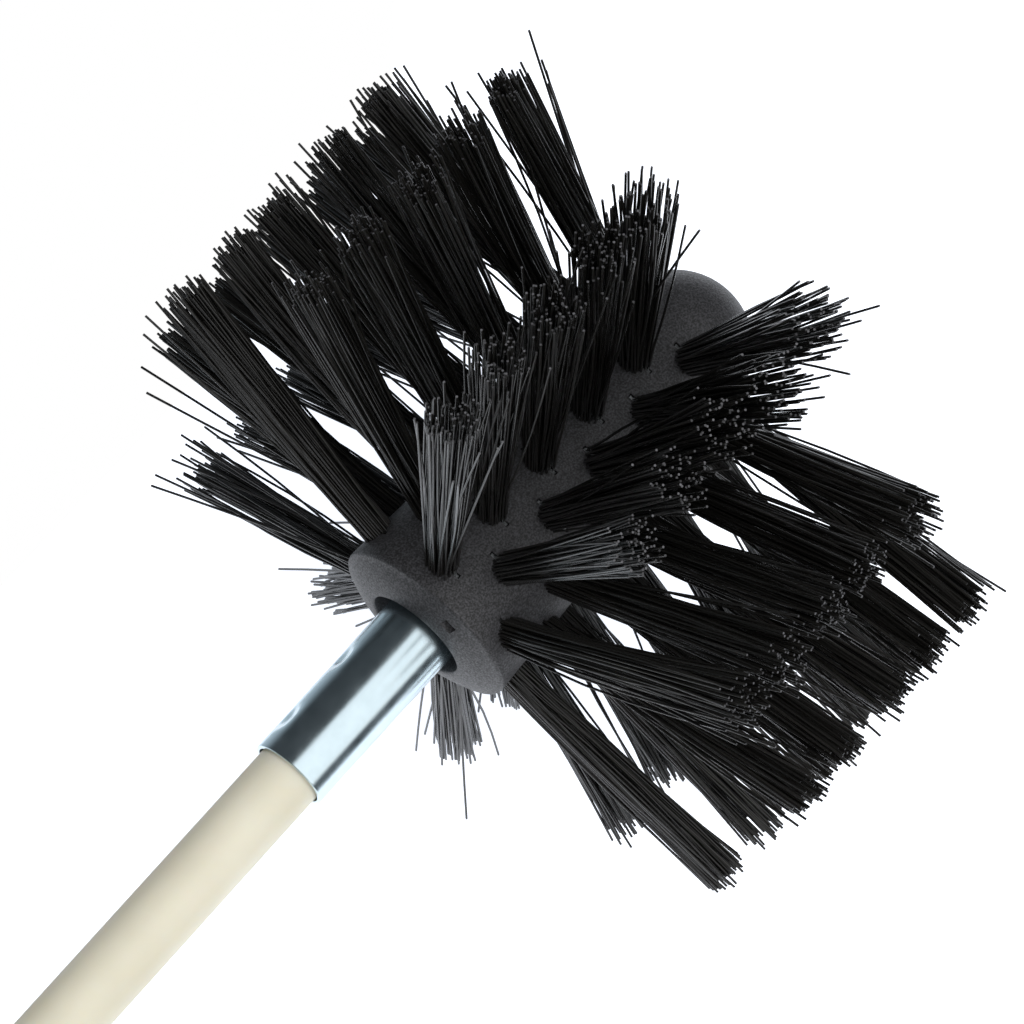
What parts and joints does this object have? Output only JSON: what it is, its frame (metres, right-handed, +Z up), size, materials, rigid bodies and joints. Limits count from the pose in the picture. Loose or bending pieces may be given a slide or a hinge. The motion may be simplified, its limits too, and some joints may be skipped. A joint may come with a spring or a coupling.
{
  "type": "flexible chimney brush",
  "caption": "Round chimney brush with staggered rows of black nylon tufts in a domed plastic core, screwed to a flexible ivory nylon rod with crimped steel ferrules.",
  "frame": {"origin": "centre of the rear stud's flat end face, on the brush's long axis", "axes": "+X runs along the rod towards the head's domed nose; +Z is up as the brush lies on its bristles"},
  "size_m": [0.4762, 0.109, 0.1088],
  "materials": {
    "core_plastic": "moulded, fine matt grain",
    "bristle_nylon": "drawn filament, satin gloss",
    "plated_steel": "bright zinc plate",
    "rod_nylon": "extruded, satin, slightly translucent"
  },
  "bodies": {
    "rear_end": {"rear_ferrule": "plated_steel", "rear_stud": "plated_steel"},
    "rod_middle": {"rod": "rod_nylon"},
    "front_end": {"front_ferrule": "plated_steel", "front_bush": "plated_steel"},
    "head_carrier": {"head_stud": "plated_steel"},
    "brush_head": {"core": "core_plastic", "bristle_row_01": "bristle_nylon", "bristle_row_02": "bristle_nylon", "bristle_row_03": "bristle_nylon", "bristle_row_04": "bristle_nylon", "bristle_row_05": "bristle_nylon", "bristle_row_06": "bristle_nylon", "bristle_row_07": "bristle_nylon", "bristle_row_08": "bristle_nylon", "bristle_row_09": "bristle_nylon", "bristle_row_10": "bristle_nylon", "bristle_row_11": "bristle_nylon", "bristle_row_12": "bristle_nylon"}
  },
  "joints": [
    {"name": "rod_bend_rear", "type": "hinge", "parent": "rear_end", "child": "rod_middle", "pos_m": [0.1305, 0, 0], "axis": [0, 0, 1], "range_deg": [-30, 30], "stiffness_Nm_per_rad": 5.2, "deforming": ["rod"]},
    {"name": "rod_bend_front", "type": "hinge", "parent": "rod_middle", "child": "front_end", "pos_m": [0.2995, 0, 0], "axis": [0, 0, 1], "range_deg": [-30, 30], "stiffness_Nm_per_rad": 5.2, "deforming": ["rod"]},
    {"name": "head_travel", "type": "slide", "parent": "front_end", "child": "head_carrier", "axis": [1, 0, 0], "range_m": [0, 0.01]},
    {"name": "head_turn", "type": "hinge", "parent": "head_carrier", "child": "brush_head", "pos_m": [0.418, 0, 0], "axis": [1, 0, 0], "range_deg": [0, 3600]}
  ],
  "couplings": [
    {"joint": "rod_bend_front", "follows": "rod_bend_rear", "ratio": 1},
    {"joint": "head_travel", "follows": "head_turn", "m_per_rad": 0.00015915}
  ]
}
